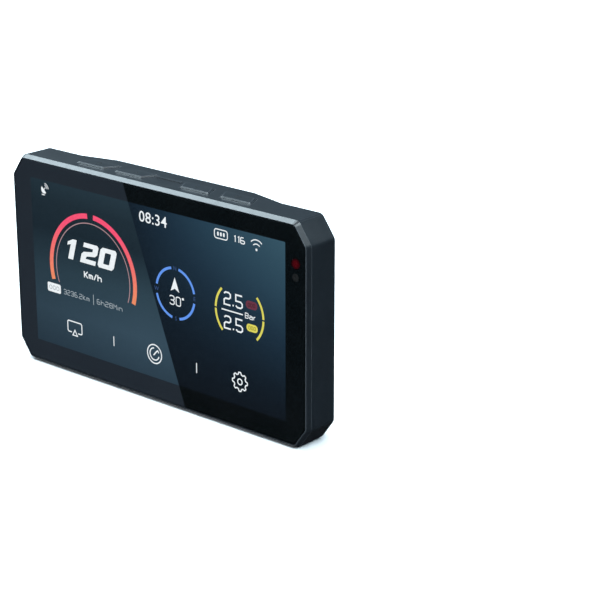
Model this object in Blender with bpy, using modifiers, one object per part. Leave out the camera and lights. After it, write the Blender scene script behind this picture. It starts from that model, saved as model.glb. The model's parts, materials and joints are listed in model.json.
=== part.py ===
"""Rider's dash display: an eight-sided die-cast case with a wide glass front, four
top buttons, a faceted rear cover with two woven panels, and a ball mount that
sits on four rubber grommets.

Frame: metres, +Z up, glass facing -Y, buttons on top.  The origin is under the
middle of the display, at the height of its flat lower edge.
"""
import math

import bpy
import bmesh
from mathutils import Vector

# ---- driving dimensions -----------------------------------------------------
WIDTH = 0.1600            # case, left to right
HEIGHT = 0.0886           # case, bottom to top
CHAMFER_X = 0.0061        # cut corners of the case outline
CHAMFER_Z = 0.0085
CORNER_RADIUS = 0.0030
RIM_END = 0.0131          # depth of the frame's rear edge at the sides
RIM_MID = 0.0171          # and behind the buttons
RAMP_OUT = 0.0540         # the rear edge climbs between these two half widths
RAMP_IN = 0.0370
FRONT_BEVEL_IN = 0.0011
FRONT_BEVEL_OUT = 0.0019
REAR_BEVEL_IN = 0.00175   # also the wall thickness of the frame
REAR_BEVEL_OUT = 0.0006
COVER_DEPTH = 0.0223      # flat back of the rear cover
BALL_RADIUS = 0.0095
BALL_DEPTH = 0.0473       # ball centre behind the frame's front corner
GAP = 0.0003              # clearance between neighbouring pieces

FRONT_Y = -(BALL_DEPTH + BALL_RADIUS - FRONT_BEVEL_OUT) / 2
MID_Z = HEIGHT / 2
TOP = HEIGHT / 2
SIDE = WIDTH / 2

# glass, display module and carrier
GLASS_INSET = FRONT_BEVEL_IN + 0.00025 + GAP
GLASS_FRONT = -FRONT_BEVEL_OUT + 0.0001
GLASS_REAR = 0.0002
LEDGE_INSET = 0.0046
LEDGE_FRONT = 0.0012
LEDGE_REAR = 0.0026
PANEL_SIZE = (0.1430, 0.0760)
PANEL_RISE = 0.00075
SENSOR_AT = (0.0738, 0.0284)
SENSOR_RADIUS = 0.0019

# rear cover
FLANGE_INSET = REAR_BEVEL_IN + GAP
GROOVE_INSET = 0.00275
FLANGE_DEPTH = 0.0116
BLOCK_NOTCH = 0.0149      # flange cut back to here round the two upper screw blocks
CREASE_A = (0.0570, 0.0323)
CREASE_B = (0.0674, 0.0173)
CREASE_MID = 0.0405
SKIN = 0.0024
PAD_DEPTH = 0.0226
BLOCK_FRONT = 0.0158      # how deep the two middle blocks start inside the cover
WEAVE_RECESS = 0.0010
WEAVE_THICK = 0.00065

# cover screws, centre positions across the cover and depth of their seats
CORNER_SCREW = (0.0725, 0.0360)
SIDE_SCREW = 0.0733
TOP_SCREW = (0.0270, 0.0385)
BOTTOM_SCREW = (0.0240, 0.0383)
HEAD_RADIUS = 0.0024
HEAD_THICK = 0.0012

# buttons: front edge of each outline, and how far the ends lean towards the middle
BUTTON_FRONT = 0.0039
BUTTON_REAR = 0.0109
BUTTON_SPANS = ((0.0106, 0.0255), (0.0316, 0.0469))
BUTTON_LEAN = 0.0034
BUTTON_PROUD = 0.0006
BUTTON_FLANGE = 0.0004
BUTTON_CHAMFER = 0.0005   # sloping edge round each button's top

INLET_DEPTH = 0.0222
INLET_RADIUS = 0.0038

# ball mount
MOUNT_Z = 0.0007          # height of the mount's centre
BOLT_X = 0.0220
BOLT_Z = 0.0109
PLATE_FRONT = 0.0240
PLATE_REAR = 0.0254
GROMMET_RADIUS = 0.0061
GROMMET_NECK = 0.0036
BOLT_HEAD = 0.0050
BOLT_SHANK = 0.0020
PLATE_PLAY = 0.0005       # room for the plate between the grommets' two flanges
BASE_SHOULDER = 0.0292
BASE_REAR = 0.0312
BASE_BEVEL = 0.0029
BASE_SCREW_X = 0.0178
NECK_RADIUS = 0.0062
NECK_FLANGE = 0.0090

PARTS = "dash_display"
CUTTERS = "cutters"
ALONG_Y = (-math.pi / 2, 0.0, 0.0)      # turns a piece's own Z to point backwards
OUTLINE_TURN = (math.pi / 2, 0.0, 0.0)  # stands a flat outline up, facing the front


# ---- scene, materials and small helpers ---------------------------------------
def clear_scene():
    for item in list(bpy.data.objects):
        bpy.data.objects.remove(item, do_unlink=True)
    for name in (PARTS, CUTTERS):
        group = bpy.data.collections.new(name)
        bpy.context.scene.collection.children.link(group)


def material(name, colour, roughness, metallic=0.0):
    made = bpy.data.materials.get(name)
    if made is None:
        made = bpy.data.materials.new(name)
        made.use_nodes = True
        shader = made.node_tree.nodes["Principled BSDF"]
        shader.inputs["Base Color"].default_value = (*colour, 1.0)
        shader.inputs["Roughness"].default_value = roughness
        shader.inputs["Metallic"].default_value = metallic
    return made


def case_paint():
    return material("case_paint", (0.055, 0.075, 0.095), 0.42, 0.55)


def black_glass():
    return material("black_glass", (0.008, 0.012, 0.015), 0.06)


def display_face():
    return material("display_face", (0.03, 0.06, 0.08), 0.2)


def black_plastic():
    return material("black_plastic", (0.02, 0.022, 0.025), 0.5)


def black_rubber():
    return material("black_rubber", (0.012, 0.012, 0.013), 0.8)


def red_rubber():
    return material("red_rubber", (0.55, 0.015, 0.02), 0.45)


def red_lens():
    return material("red_lens", (0.16, 0.01, 0.012), 0.15)


def woven_fibre():
    return material("woven_fibre", (0.02, 0.022, 0.026), 0.35)


def bright_steel():
    return material("bright_steel", (0.62, 0.65, 0.68), 0.2, 1.0)


def dark_steel():
    return material("dark_steel", (0.05, 0.06, 0.07), 0.35, 0.9)


def bare_aluminium():
    return material("bare_aluminium", (0.55, 0.56, 0.58), 0.35, 1.0)


def board_green():
    return material("board_green", (0.02, 0.12, 0.06), 0.5)


def ceramic_tan():
    return material("ceramic_tan", (0.55, 0.45, 0.32), 0.6)


def foil_blue():
    return material("foil_blue", (0.05, 0.12, 0.35), 0.4)


def gold_contact():
    return material("gold_contact", (0.75, 0.52, 0.18), 0.25, 1.0)


def at(x, depth, height):
    """World point from a half-width position, a depth behind the frame's front
    corner and a height above the case's middle."""
    return Vector((x, FRONT_Y + depth, MID_Z + height))


def keep(item, name, paint=None, group=PARTS):
    """Name an object, give it its material and move it to its collection."""
    item.name = name
    if item.data is not None:
        item.data.name = name
        if paint is not None:
            item.data.materials.clear()
            item.data.materials.append(paint)
    for owner in list(item.users_collection):
        owner.objects.unlink(item)
    bpy.data.collections[group].objects.link(item)
    return item


def smooth(item, degrees=35.0):
    item.data.shade_smooth()
    item.data.set_sharp_from_angle(angle=math.radians(degrees))
    return item


def from_bmesh(mesh_data, name, paint=None, group=PARTS):
    bmesh.ops.recalc_face_normals(mesh_data, faces=mesh_data.faces)
    mesh = bpy.data.meshes.new(name)
    mesh_data.to_mesh(mesh)
    mesh_data.free()
    item = bpy.data.objects.new(name, mesh)
    bpy.context.scene.collection.objects.link(item)
    return keep(item, name, paint, group)


def settled(item):
    """Replace an object by the mesh that its modifiers or its curve produce."""
    name = item.name
    bpy.context.view_layer.update()
    view = item.evaluated_get(bpy.context.evaluated_depsgraph_get())
    mesh = bpy.data.meshes.new_from_object(view)
    work = bmesh.new()
    work.from_mesh(mesh)
    bmesh.ops.remove_doubles(work, verts=work.verts, dist=0.000002)
    bmesh.ops.recalc_face_normals(work, faces=work.faces)
    work.to_mesh(mesh)
    work.free()
    solid = bpy.data.objects.new(name, mesh)
    solid.matrix_world = item.matrix_world.copy()
    group = item.users_collection[0].name
    bpy.data.collections[group].objects.link(solid)
    bpy.data.objects.remove(item, do_unlink=True)
    solid.name = name
    return solid


def as_cutter(item):
    item.hide_render = True
    item.display_type = "WIRE"
    return item


def boolean(item, other, operation="DIFFERENCE"):
    step = item.modifiers.new(operation.lower(), "BOOLEAN")
    step.operation = operation
    step.object = as_cutter(other)
    return item


def rounded(item, width, segments=1, degrees=40.0):
    step = item.modifiers.new("edges", "BEVEL")
    step.width = width
    step.segments = segments
    step.limit_method = "ANGLE"
    step.angle_limit = math.radians(degrees)
    return item


def box(name, centre, size, paint=None, group=PARTS):
    bpy.ops.mesh.primitive_cube_add(size=1.0, location=centre)
    item = bpy.context.object
    for vertex in item.data.vertices:
        vertex.co = Vector(side * length for side, length in zip(vertex.co, size))
    return keep(item, name, paint, group)


def rod(name, centre, radius, length, sides=20, turn=ALONG_Y, paint=None, group=PARTS):
    bpy.ops.mesh.primitive_cylinder_add(
        vertices=sides, radius=radius, depth=length, location=centre, rotation=turn)
    return smooth(keep(bpy.context.object, name, paint, group))


def fillet(corners, radius, steps=3):
    """Outline with each corner replaced by an arc."""
    points = []
    count = len(corners)
    for index, corner in enumerate(corners):
        here = Vector(corner)
        before = Vector(corners[index - 1]) - here
        after = Vector(corners[(index + 1) % count]) - here
        half = before.angle(after) / 2
        reach = min(radius / math.tan(half), before.length * 0.45, after.length * 0.45)
        start = here + before.normalized() * reach
        end = here + after.normalized() * reach
        for step in range(steps + 1):
            share = step / steps
            points.append((start.lerp(here, share)).lerp(here.lerp(end, share), share))
    return points


def plate(name, outline, front, rear, paint=None, group=PARTS):
    """Solid slab: a closed outline across the case, between two depths."""
    curve = bpy.data.curves.new(name, "CURVE")
    curve.dimensions = "2D"
    curve.fill_mode = "BOTH"
    curve.extrude = (rear - front) / 2
    spline = curve.splines.new("POLY")
    spline.points.add(len(outline) - 1)
    for point, (x, z) in zip(spline.points, outline):
        point.co = (x, z, 0.0, 1.0)
    spline.use_cyclic_u = True
    item = bpy.data.objects.new(name, curve)
    item.location = at(0.0, (front + rear) / 2, 0.0)
    item.rotation_euler = OUTLINE_TURN
    bpy.context.scene.collection.objects.link(item)
    return keep(settled(keep(item, name, None, group)), name, paint, group)


def turned(name, profile, location, steps=24, turn=ALONG_Y, paint=None, group=PARTS, ring=False):
    """Turned shape; the profile runs down its outer side, from the top."""
    mesh = bpy.data.meshes.new(name)
    edges = [(index, index + 1) for index in range(len(profile) - 1)]
    if ring:
        edges.append((len(profile) - 1, 0))
    mesh.from_pydata([(radius, 0.0, height) for radius, height in profile], edges, [])
    item = bpy.data.objects.new(name, mesh)
    item.location = location
    item.rotation_euler = turn
    bpy.context.scene.collection.objects.link(item)
    spin = item.modifiers.new("turn", "SCREW")
    spin.steps = steps
    spin.render_steps = steps
    spin.use_merge_vertices = True
    spin.merge_threshold = 0.00001
    return smooth(settled(keep(item, name, paint, group)))


def loft(name, rings, paint=None, group=PARTS, ring_body=False):
    """Skin between loops with the same number of points: a ring-shaped body when
    the last loop joins the first, otherwise a solid with flat ends."""
    work = bmesh.new()
    loops = [[work.verts.new(point) for point in ring] for ring in rings]
    pairs = list(zip(loops, loops[1:]))
    if ring_body:
        pairs.append((loops[-1], loops[0]))
    else:
        work.faces.new(loops[0])
        work.faces.new(loops[-1])
    count = len(loops[0])
    for near, far in pairs:
        for index in range(count):
            after = (index + 1) % count
            work.faces.new((near[index], near[after], far[after], far[index]))
    bmesh.ops.remove_doubles(work, verts=work.verts, dist=0.000001)
    bmesh.ops.dissolve_degenerate(work, edges=work.edges, dist=0.000001)
    return from_bmesh(work, name, paint, group)


def copies(item, places, prefix):
    """The first place takes the object itself; the rest share its mesh."""
    items = []
    for index, place in enumerate(places):
        each = item if index == 0 else bpy.data.objects.new(item.name, item.data)
        each.rotation_euler = item.rotation_euler
        each.location = place
        if index:
            bpy.data.collections[PARTS].objects.link(each)
        each.name = f"{prefix}_{index + 1}"
        items.append(each)
    return items


# ---- outlines of the case -------------------------------------------------------
def case_outline(inset):
    """Eight corners of the case outline, moved inwards by the same distance."""
    slant = math.hypot(CHAMFER_X, CHAMFER_Z)
    edge = CHAMFER_Z * SIDE + CHAMFER_X * (TOP - CHAMFER_Z) - inset * slant
    top_x = (edge - CHAMFER_X * (TOP - inset)) / CHAMFER_Z
    side_z = (edge - CHAMFER_Z * (SIDE - inset)) / CHAMFER_X
    right = [(top_x, TOP - inset), (SIDE - inset, side_z)]
    right += [(SIDE - inset, -side_z), (top_x, -(TOP - inset))]
    return right + [(-x, z) for x, z in reversed(right)]


def with_ramps(points, stations):
    """Close a loop along its top edge through the places where the rim climbs."""
    height = points[0][1]
    return points + [(x, height) for x in stations]


RAMP_STATIONS = (-RAMP_OUT, -RAMP_IN, RAMP_IN, RAMP_OUT)


def case_loop(inset, depth, mid_depth=None):
    """Loop of world points round the case at an inset and a depth; mid_depth is
    the depth of the raised stretch behind the buttons."""
    raised = depth if mid_depth is None else mid_depth
    points = fillet(case_outline(inset), max(CORNER_RADIUS - inset, 0.0004))
    loop = [at(x, depth, z) for x, z in points]
    for x in RAMP_STATIONS:
        loop.append(at(x, raised if abs(x) == RAMP_IN else depth, TOP - inset))
    return loop


def crease_loop(inset, depth):
    """Loop round the flat back of the cover, matched to the case's loops."""
    slant = (CREASE_B[0] - CREASE_A[0], CREASE_A[1] - CREASE_B[1])
    shift = inset * 0.6
    right = [(CREASE_A[0] - shift, CREASE_A[1] - inset), (CREASE_B[0] - inset, CREASE_B[1] - shift)]
    right += [(x, -z) for x, z in reversed(right)]
    corners = right + [(-x, z) for x, z in reversed(right)]
    points = fillet(corners, slant[0] * 0.18)
    points += [(x, CREASE_A[1] - inset) for x in (-CREASE_MID, -CREASE_MID, CREASE_MID, CREASE_MID)]
    return [at(x, depth, z) for x, z in points]


def corner_facet_depth(x, z):
    """Depth of the slanted facet between a cut corner and the flat back."""
    edge = case_outline(GROOVE_INSET)
    outer = Vector((edge[0][0], RIM_END + 0.0008, edge[0][1]))
    low = Vector((edge[1][0], RIM_END + 0.0008, edge[1][1]))
    inner = Vector((CREASE_A[0], COVER_DEPTH, CREASE_A[1]))
    normal = (low - outer).cross(inner - outer)
    lift = normal.x * (abs(x) - outer.x) + normal.z * (abs(z) - outer.z)
    return outer.y - lift / normal.y


# ---- front half -----------------------------------------------------------------
def screw_places():
    """Cover screws: four corners, two sides, two above, two below, with the
    depth of each head's seat."""
    corner = corner_facet_depth(*CORNER_SCREW) - 0.0021
    places = [(sx * CORNER_SCREW[0], corner, sz * CORNER_SCREW[1])
              for sz in (1, -1) for sx in (-1, 1)]
    places += [(sx * SIDE_SCREW, 0.0158, 0.0) for sx in (-1, 1)]
    places += [(sx * TOP_SCREW[0], 0.0179, TOP_SCREW[1]) for sx in (-1, 1)]
    places += [(sx * BOTTOM_SCREW[0], 0.0155, -BOTTOM_SCREW[1]) for sx in (-1, 1)]
    return places


def button_outline(span, mirrored, grow=0.0):
    """Leaning four-sided outline of a button, in world X and Y."""
    inner, outer = span
    front = FRONT_Y + BUTTON_FRONT - grow
    rear = FRONT_Y + BUTTON_REAR + grow
    side = -1.0 if mirrored else 1.0
    corners = [(inner - grow, front), (outer + grow, front)]
    corners += [(outer + grow - BUTTON_LEAN, rear), (inner - grow - BUTTON_LEAN, rear)]
    return fillet([(side * x, y) for x, y in corners], 0.0006 + max(grow, 0.0), 2)


def button_sides():
    """Span and side of each button, from left to right as the rider sees them."""
    inner, outer = BUTTON_SPANS
    return [(outer, True), (inner, True), (inner, False), (outer, False)]


def upright_prism(name, outline, bottom, top, paint=None, group=PARTS):
    low = [Vector((x, y, MID_Z + bottom)) for x, y in outline]
    high = [Vector((x, y, MID_Z + top)) for x, y in outline]
    return loft(name, [low, high], paint, group)


def frame_blocks():
    """Solid blocks inside the frame that the cover screws thread into."""
    reach = REAR_BEVEL_IN - 0.0006
    for sx in (-1, 1):
        for sz in (-1, 1):
            edge = case_outline(reach)
            low_x = edge[0][0] - 0.0050
            low_z = edge[1][1] - 0.0040
            corner = [(low_x, edge[0][1]), edge[0], edge[1], (edge[1][0], low_z), (low_x, low_z)]
            yield plate(f"corner_block_{sx}_{sz}", [(sx * x, sz * z) for x, z in corner],
                        0.0068, 0.0112, group=CUTTERS)
        wide = (SIDE - reach - 0.0690, 0.0044, 0.0080)
        yield box(f"side_block_{sx}", at(sx * (SIDE - reach + 0.0690) / 2, 0.0090, 0.0), wide,
                  group=CUTTERS)
        tall = TOP - reach - 0.0352
        yield box(f"top_block_{sx}", at(sx * TOP_SCREW[0], 0.0131, 0.0352 + tall / 2),
                  (0.0080, 0.0028, tall), group=CUTTERS)
        yield box(f"bottom_block_{sx}", at(sx * BOTTOM_SCREW[0], 0.0090, -0.0352 - tall / 2),
                  (0.0080, 0.0044, tall), group=CUTTERS)


def front_frame():
    """Eight-sided ring: bevelled front lip, glass pocket, ledge and rear rim."""
    wall = REAR_BEVEL_IN
    pocket = FRONT_BEVEL_IN + 0.00025
    frame = loft("front_frame", [
        case_loop(0.0, 0.0),
        case_loop(0.0, RIM_END, RIM_MID),
        case_loop(wall, RIM_END + REAR_BEVEL_OUT, RIM_MID + REAR_BEVEL_OUT),
        case_loop(wall, LEDGE_REAR),
        case_loop(LEDGE_INSET, LEDGE_REAR),
        case_loop(LEDGE_INSET, LEDGE_FRONT),
        case_loop(pocket, LEDGE_FRONT),
        case_loop(pocket, -FRONT_BEVEL_OUT),
        case_loop(FRONT_BEVEL_IN, -FRONT_BEVEL_OUT),
    ], case_paint(), ring_body=True)
    for block in frame_blocks():
        boolean(frame, block, "UNION")
    rib = box("top_rib", at(0.0, 0.0091, TOP), (0.0128, 0.0012, 0.0007), group=CUTTERS)
    boolean(frame, rib, "UNION")
    for index, (span, mirrored) in enumerate(button_sides()):
        window = upright_prism(f"window_{index}", button_outline(span, mirrored, GAP),
                               TOP - wall - 0.0010, TOP + 0.0010, group=CUTTERS)
        boolean(frame, window)
    for index, (x, seat, z) in enumerate(screw_places()):
        pilot = rod(f"pilot_{index}", at(x, 0.0110, z), 0.0014, 0.0100, 12, group=CUTTERS)
        boolean(frame, pilot)
    return frame


def cover_glass():
    """Glass sheet with a hole for the sensor lens."""
    glass = loft("cover_glass", [
        case_loop(GLASS_INSET, GLASS_REAR),
        case_loop(GLASS_INSET, GLASS_FRONT + 0.0002),
        case_loop(GLASS_INSET + 0.0002, GLASS_FRONT),
    ], black_glass())
    hole = rod("sensor_hole", at(SENSOR_AT[0], 0.0, SENSOR_AT[1]), SENSOR_RADIUS + 0.0002, 0.0060,
               24, group=CUTTERS)
    return boolean(glass, hole)


def sensor_lens():
    depth = GLASS_REAR - GLASS_FRONT - 0.0002
    middle = (GLASS_REAR + GLASS_FRONT) / 2
    return rod("sensor_lens", at(SENSOR_AT[0], middle, SENSOR_AT[1]), SENSOR_RADIUS, depth, 24,
               paint=red_lens())


def glass_adhesive():
    """Bonding ring between the glass and the ledge."""
    front = GLASS_REAR + GAP
    rear = LEDGE_FRONT - GAP
    outer = GLASS_INSET + 0.0004
    inner = LEDGE_INSET - 0.0006
    return loft("glass_adhesive", [
        case_loop(outer, front), case_loop(outer, rear),
        case_loop(inner, rear), case_loop(inner, front),
    ], black_rubber(), ring_body=True)


def display_stack():
    """Display module, its backlight and the sheet carrier behind them."""
    width, height = PANEL_SIZE
    box("display_panel", at(0.0, 0.0013, PANEL_RISE), (width, 0.0016, height), display_face())
    box("backlight_unit", at(0.0, 0.0037, PANEL_RISE), (width, 0.0026, height), black_plastic())
    carrier = box("panel_bracket", at(0.0, 0.0059, -0.0008), (0.1330, 0.0012, 0.0720),
                  bare_aluminium())
    for sx in (-1, 1):
        slot = box(f"carrier_slot_{sx}", at(sx * 0.0450, 0.0059, -0.0010),
                   (0.0240, 0.0040, 0.0300), group=CUTTERS)
        boolean(carrier, slot)


def electronics():
    """Board and what it carries."""
    box("main_board", at(0.0, 0.0075, -0.0030), (0.1240, 0.0012, 0.0620), board_green())
    box("shield_can", at(0.0, 0.0095, 0.0), (0.0290, 0.0022, 0.0290), bare_aluminium())
    box("heat_spreader", at(0.0, 0.01405, 0.0), (0.0270, 0.0063, 0.0270), bare_aluminium())
    box("heat_pad", at(0.0, 0.0179, 0.0), (0.0250, 0.0008, 0.0250), black_rubber())
    box("satellite_antenna", at(-0.0420, 0.0104, 0.0120), (0.0250, 0.0040, 0.0250), ceramic_tan())
    box("wireless_antenna", at(0.0420, 0.0086, 0.0220), (0.0320, 0.0004, 0.0080), gold_contact())
    cell = box("backup_cell", at(0.0420, 0.0111, -0.0050), (0.0360, 0.0054, 0.0240), foil_blue())
    rounded(cell, 0.0010, 2)
    rod("sounder", at(-0.0420, 0.0101, -0.0190), 0.0070, 0.0034, 24, paint=black_plastic())


# ---- buttons --------------------------------------------------------------------
def button_cap(name, span, mirrored, foot):
    """Key top: upright sides, then a sloping edge up to a smaller flat top."""
    levels = [(foot, 0.0), (TOP + BUTTON_PROUD - BUTTON_CHAMFER, 0.0),
              (TOP + BUTTON_PROUD, -BUTTON_CHAMFER)]
    rings = [[Vector((x, y, MID_Z + height)) for x, y in button_outline(span, mirrored, grow)]
             for height, grow in levels]
    return loft(name, rings, case_paint())


def buttons():
    """Four keys with a retaining flange under the frame's top wall."""
    wall_under = TOP - REAR_BEVEL_IN
    for index, (span, mirrored) in enumerate(button_sides()):
        name = f"button_{index + 1}"
        cap = button_cap(name, span, mirrored, wall_under - 0.0005)
        flange = upright_prism(f"{name}_flange", button_outline(span, mirrored, BUTTON_FLANGE),
                               wall_under - GAP - 0.0008, wall_under - GAP, group=CUTTERS)
        boolean(cap, flange, "UNION")
        middle = (span[0] + span[1] - BUTTON_LEAN) / 2
        centre = Vector((-middle if mirrored else middle, FRONT_Y + 0.00725, MID_Z + TOP))
        cap = keep(settled(cap), name, case_paint())
        cap.data.transform(cap.matrix_world)
        cap.matrix_world.identity()
        cap.data.transform(cap.matrix_world.Translation(-centre))
        cap.location = centre


def button_works():
    """Rubber membrane, four switches and the narrow board below the buttons."""
    box("button_membrane", at(0.0, 0.00725, 0.0402), (0.1000, 0.0076, 0.0005), black_rubber())
    box("button_board", at(0.0, 0.0079, 0.0373), (0.0980, 0.0050, 0.0008), board_green())
    for index, (span, mirrored) in enumerate(button_sides()):
        middle = (span[0] + span[1] - BUTTON_LEAN) / 2
        place = at(-middle if mirrored else middle, 0.0079, 0.03885)
        box(f"tact_switch_{index + 1}", place, (0.0045, 0.0034, 0.0017), black_plastic())


# ---- rear cover -----------------------------------------------------------------
def offset(outline, distance):
    """Closed outline moved by a distance, to the left of its direction of travel."""
    moved = []
    count = len(outline)
    for index in range(count):
        here = Vector(outline[index])
        before = (here - Vector(outline[index - 1])).normalized()
        after = (Vector(outline[(index + 1) % count]) - here).normalized()
        aside = Vector((-before.y - after.y, before.x + after.x)).normalized()
        stretch = aside.dot(Vector((-before.y, before.x)))
        moved.append(tuple(here + aside * (distance / stretch)))
    return moved


def pad_outline():
    """Raised field that carries the mount, between the two woven panels."""
    half = [(0.0170, 0.0305), (0.0170, 0.0237), (0.0185, 0.0209), (0.0263, 0.0199)]
    half += [(0.0289, 0.0184), (0.0331, 0.0122)]
    right = half + [(x, -z) for x, z in reversed(half)]
    return right + [(-x, z) for x, z in reversed(right)]


def weave_outline(side, grow=0.0):
    """Outline of one woven panel: cut outer corners, and an inner edge that
    follows the raised field."""
    half = [(0.0533, 0.0302), (0.0560, 0.0290), (0.0643, 0.0158), (0.0650, 0.0108)]
    outer = half + [(x, -z) for x, z in reversed(half)]
    inner = offset(pad_outline(), 0.0009)[1:11]
    inner = [(inner[0][0], 0.0302)] + inner + [(inner[0][0], -0.0302)]
    corners = offset(outer + inner[::-1], grow)
    return [(side * x, z) for x, z in corners]


def block_section(foot, face, rear, z):
    """Four-sided section across one of the two blocks on the middle of the cover."""
    front = BLOCK_FRONT
    return [at(-foot, front, z), at(foot, front, z), at(face, rear, z), at(-face, rear, z)]


def upper_block():
    """Hood above the mount: a sloping top, a flat back, and a face that falls
    towards the mount plate."""
    return loft("upper_block", [
        block_section(0.0186, 0.0170, 0.0196, 0.0413),
        block_section(0.0186, 0.0125, 0.0284, 0.0380),
        block_section(0.0186, 0.0125, 0.0284, 0.0290),
        block_section(0.0175, 0.0160, 0.0238, 0.0205),
    ], group=CUTTERS)


def lower_block():
    """Smaller block below the mount that holds the power inlet."""
    return loft("lower_block", [
        block_section(0.0140, 0.0120, 0.0240, -0.0195),
        block_section(0.0140, 0.0094, 0.0280, -0.0265),
        block_section(0.0140, 0.0094, 0.0280, -0.0388),
    ], group=CUTTERS)


def corner_pocket(sx, sz):
    """Rounded three-sided recess round a corner screw, parallel to its facet."""
    corners = [(0.0716, 0.0386), (0.0602, 0.0309), (0.0661, 0.0222), (0.0748, 0.0341)]
    points = [(p[0], p[1]) for p in fillet(corners, 0.0016)]
    floor = [at(sx * x, corner_facet_depth(x, z) - 0.0009, sz * z) for x, z in points]
    lid = [at(sx * x, corner_facet_depth(x, z) + 0.0030, sz * z) for x, z in points]
    return loft(f"pocket_{sx}_{sz}", [floor, lid], group=CUTTERS)


def cover_shell():
    """Hollow cover: a flange inside the frame, facets, and the flat back."""
    seal_seat = RIM_END - 0.0008
    seal_mid = RIM_MID - 0.0008
    return loft("rear_cover", [
        case_loop(FLANGE_INSET, FLANGE_DEPTH),
        case_loop(FLANGE_INSET, seal_seat, seal_mid),
        case_loop(GROOVE_INSET, seal_seat, seal_mid),
        case_loop(GROOVE_INSET, RIM_END + 0.0008, RIM_MID + 0.0008),
        crease_loop(0.0, COVER_DEPTH),
    ], case_paint())


def cover_hollow():
    """Space inside the cover, open towards the frame."""
    inner = FLANGE_INSET + 0.0018
    return loft("cover_hollow", [
        case_loop(inner, FLANGE_DEPTH - 0.0010),
        case_loop(inner + 0.0007, RIM_END - 0.0014, RIM_MID - 0.0018),
        crease_loop(0.0020, COVER_DEPTH - SKIN),
    ], group=CUTTERS)


def rear_cover():
    cover = cover_shell()
    boolean(cover, cover_hollow())
    for sx in (-1, 1):
        notch = box(f"notch_{sx}", at(sx * TOP_SCREW[0], BLOCK_NOTCH - 0.0025, 0.0390),
                    (0.0088, 0.0050, 0.0100), group=CUTTERS)
        boolean(cover, notch)
    boolean(cover, upper_block(), "UNION")
    boolean(cover, lower_block(), "UNION")
    boolean(cover, plate("pad", pad_outline(), COVER_DEPTH - 0.0006, PAD_DEPTH, group=CUTTERS), "UNION")
    for side, name in ((1, "left"), (-1, "right")):
        recess = plate(f"recess_{name}", weave_outline(side, GAP), COVER_DEPTH - WEAVE_RECESS,
                       COVER_DEPTH + 0.0003, group=CUTTERS)
        boolean(cover, recess)
    for sx in (-1, 1):
        for sz in (-1, 1):
            boolean(cover, corner_pocket(sx, sz))
            boss = rod(f"bolt_boss_{sx}_{sz}", at(sx * BOLT_X, 0.0182, sz * BOLT_Z + MOUNT_Z), 0.0044,
                       0.0050, 20, group=CUTTERS)
            boolean(cover, boss, "UNION")
    for index, (x, seat, z) in enumerate(screw_places()):
        start = FLANGE_DEPTH if z < 0.037 else BLOCK_NOTCH
        depth = seat + 0.0004 - start
        boss = rod(f"screw_boss_{index}", at(x, start + depth / 2, z), 0.0031, depth, 16,
                   group=CUTTERS)
        boolean(cover, boss, "UNION")
    for index, (x, seat, z) in enumerate(screw_places()):
        boolean(cover, rod(f"head_bore_{index}", at(x, seat + 0.0035, z), HEAD_RADIUS + GAP, 0.0070,
                           20, group=CUTTERS))
        boolean(cover, rod(f"shank_bore_{index}", at(x, 0.0150, z), 0.0013, 0.0200, 12,
                           group=CUTTERS))
    for sx in (-1, 1):
        for sz in (-1, 1):
            place = at(sx * BOLT_X, 0.0200, sz * BOLT_Z + MOUNT_Z)
            boolean(cover, rod(f"bolt_bore_{sx}_{sz}", place, BOLT_SHANK + GAP, 0.0120, 16,
                               group=CUTTERS))
    boolean(cover, rod("inlet_bore", at(0.0, INLET_DEPTH, -0.0351), INLET_RADIUS + GAP, 0.0080, 24,
                       (0.0, 0.0, 0.0), group=CUTTERS))
    boolean(cover, rod("breather_bore", at(0.0450, 0.0190, -0.0367), 0.0024, 0.0080, 20,
                       group=CUTTERS))
    return cover


def perimeter_seal():
    """Thin ring that shows as the dark line between the frame and the cover."""
    outer = REAR_BEVEL_IN + GAP
    inner = GROOVE_INSET - GAP
    front = (RIM_END - 0.0005, RIM_MID - 0.0005)
    rear = (RIM_END + 0.0001, RIM_MID + 0.0001)
    return loft("perimeter_seal", [
        case_loop(outer, *front), case_loop(outer, *rear),
        case_loop(inner, *rear), case_loop(inner, *front),
    ], black_rubber(), ring_body=True)


def carbon_panels():
    for side, name in ((1, "left"), (-1, "right")):
        front = COVER_DEPTH - WEAVE_RECESS + GAP
        plate(f"carbon_panel_{name}", weave_outline(side), front, front + WEAVE_THICK, woven_fibre())


def cover_screws():
    """Ten identical screws; the driver socket is six-sided."""
    profile = [(0.0, HEAD_THICK), (HEAD_RADIUS - 0.0003, HEAD_THICK)]
    profile += [(HEAD_RADIUS, HEAD_THICK - 0.0003), (HEAD_RADIUS, 0.0)]
    profile += [(0.0010, 0.0), (0.0010, -0.0065), (0.0, -0.0065)]
    screw = turned("cover_screw", profile, (0.0, 0.0, 0.0), 16, paint=dark_steel())
    socket = rod("socket", (0.0, HEAD_THICK, 0.0), 0.0011, 0.0014, 6, group=CUTTERS)
    screw = settled(boolean(screw, socket))
    keep(screw, "cover_screw", dark_steel())
    copies(screw, [at(x, seat + GAP, z) for x, seat, z in screw_places()], "cover_screw")


def inlet():
    """Round power inlet in the end of the lower block, facing down."""
    place = at(0.0, INLET_DEPTH, -0.0386)
    radius = INLET_RADIUS
    profile = [(0.0, 0.0072), (radius, 0.0072), (radius, 0.0), (0.0031, 0.0), (0.0031, 0.0058),
               (0.0, 0.0058)]
    turned("power_inlet", profile, place, 24, (0.0, 0.0, 0.0), black_plastic())
    contact = [(0.0, 0.0055), (0.0020, 0.0055), (0.0020, 0.0050), (0.0, 0.0050)]
    turned("inlet_contact", contact, place, 16, (0.0, 0.0, 0.0), gold_contact())


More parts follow.
